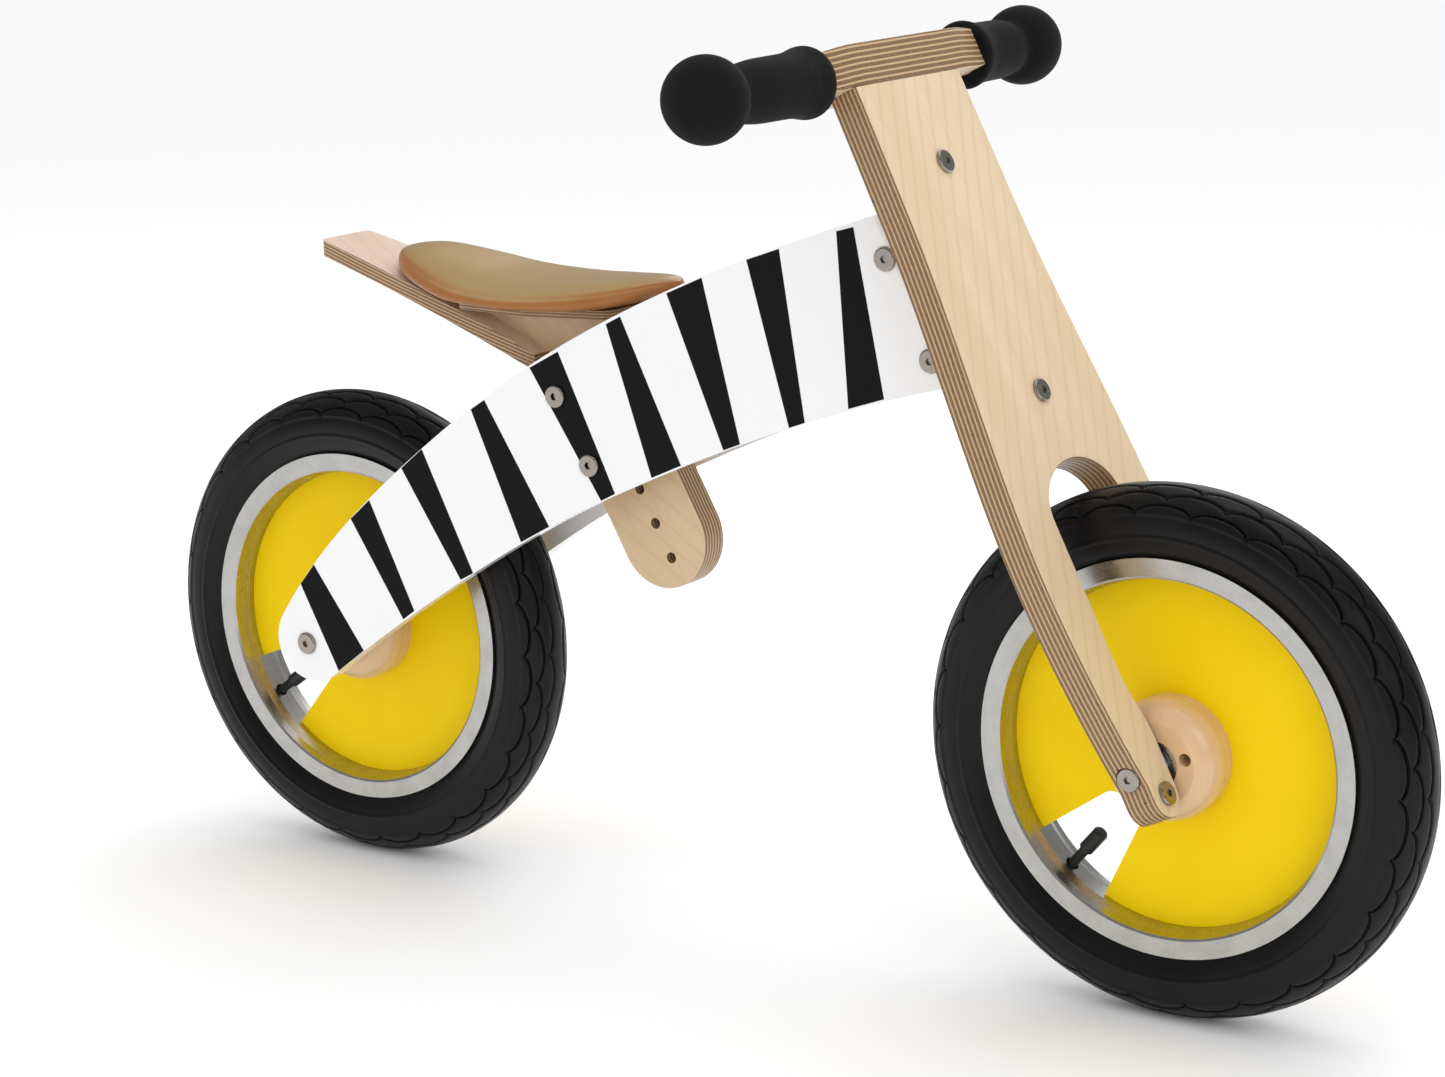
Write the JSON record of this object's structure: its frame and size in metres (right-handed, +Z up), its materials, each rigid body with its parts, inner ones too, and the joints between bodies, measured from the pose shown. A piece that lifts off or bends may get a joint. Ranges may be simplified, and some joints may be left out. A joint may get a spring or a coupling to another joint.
{
  "type": "balance bike",
  "caption": "Child's wooden balance bike: striped side panels, steering plywood fork with handlebar, padded saddle and two disc wheels with pneumatic tyres.",
  "frame": {"origin": "on the ground midway between the two wheel axles, on the bike's middle plane, at the bottom centre of its box", "axes": "+X forward, +Y to the rider's left, +Z up"},
  "size_m": [0.84, 0.365, 0.5179],
  "materials": {
    "white_laminate": "high gloss white laminate with black tapered stripes",
    "birch_plywood": "clear lacquered birch plywood",
    "bent_plywood": "clear lacquered bent plywood",
    "hardwood": "lacquered hardwood",
    "turned_beech": "glossy lacquered turned beech",
    "tyre_rubber": "matte black",
    "tube_rubber": "matte black",
    "black_plastic": "matte",
    "rim_metal": "brushed, satin",
    "yellow_board": "satin yellow",
    "bush_plastic": "natural white",
    "grip_foam": "matte foam",
    "saddle_vinyl": "tan vinyl, satin",
    "bright_steel": "turned",
    "nickel_steel": "nickel plated, satin"
  },
  "bodies": {
    "frame": {"head_block": "hardwood", "head_bolt_lower": "nickel_steel", "head_bolt_upper": "nickel_steel", "head_nuts": "nickel_steel", "panel_left": "white_laminate", "panel_right": "white_laminate", "rear_axle": "bright_steel", "rear_axle_bolts": "nickel_steel", "rear_spacer_left": "bright_steel", "rear_spacer_right": "bright_steel", "saddle_base": "birch_plywood", "saddle_pad": "saddle_vinyl", "seat_bolt_lower": "nickel_steel", "seat_bolt_upper": "nickel_steel", "seat_nuts": "nickel_steel", "seat_post": "birch_plywood", "seat_spacer_left": "birch_plywood", "seat_spacer_right": "birch_plywood", "steering_bush_lower": "bush_plastic", "steering_bush_upper": "bush_plastic", "tail_plate": "bent_plywood"},
    "fork": {"fork_plate": "birch_plywood", "knuckle_upper": "hardwood", "knuckle_lower": "hardwood", "steering_pin": "nickel_steel", "steering_nut": "nickel_steel", "fork_bolt_upper": "nickel_steel", "fork_bolt_lower": "nickel_steel", "handlebar": "birch_plywood", "handlebar_screws": "nickel_steel", "grip_right": "grip_foam", "grip_left": "grip_foam", "leg_screws": "nickel_steel", "front_axle": "bright_steel", "front_axle_bolts": "nickel_steel", "front_washer_right": "bright_steel", "front_washer_left": "bright_steel"},
    "front_wheel": {"front_bearing_left": "bright_steel", "front_bearing_right": "bright_steel", "front_disc": "yellow_board", "front_hub_left": "turned_beech", "front_hub_right": "turned_beech", "front_hub_screws": "nickel_steel", "front_inner_tube": "tube_rubber", "front_rim": "rim_metal", "front_tyre": "tyre_rubber", "front_valve_cap": "black_plastic"},
    "rear_wheel": {"rear_bearing_left": "bright_steel", "rear_bearing_right": "bright_steel", "rear_disc": "yellow_board", "rear_hub_left": "turned_beech", "rear_hub_right": "turned_beech", "rear_hub_screws": "nickel_steel", "rear_inner_tube": "tube_rubber", "rear_rim": "rim_metal", "rear_tyre": "tyre_rubber", "rear_valve_cap": "black_plastic"}
  },
  "joints": [
    {"name": "steering", "type": "hinge", "parent": "frame", "child": "fork", "pos_m": [0.13558, 0, 0.37959], "axis": [-0.4399, 0, 0.898], "range_deg": [-34, 34]},
    {"name": "front_wheel_spin", "type": "hinge", "parent": "fork", "child": "front_wheel", "pos_m": [0.275, 0, 0.145], "axis": [0, 1, 0], "continuous": true},
    {"name": "rear_wheel_spin", "type": "hinge", "parent": "frame", "child": "rear_wheel", "pos_m": [-0.275, 0, 0.145], "axis": [0, 1, 0], "continuous": true}
  ]
}
